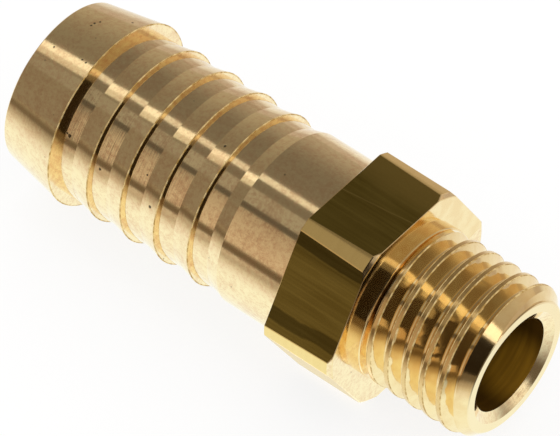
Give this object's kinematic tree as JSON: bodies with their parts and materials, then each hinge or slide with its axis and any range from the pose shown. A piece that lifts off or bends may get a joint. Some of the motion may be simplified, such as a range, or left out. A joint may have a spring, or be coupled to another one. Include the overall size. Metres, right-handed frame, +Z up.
{
  "type": "threaded nipple",
  "caption": "Brass hose nipple with a male thread, a hexagon for a spanner and a barbed tail, bored through.",
  "frame": {"origin": "on the axis, in the plane of the shoulder that seats on the port", "axes": "+X along the axis towards the thread's end, +Z up, a flat of the hexagon facing down"},
  "size_m": [0.0404, 0.0168, 0.015],
  "materials": {
    "brass": "bright turned"
  },
  "bodies": {
    "root": {"threaded_nipple": "brass"}
  },
  "joints": []
}
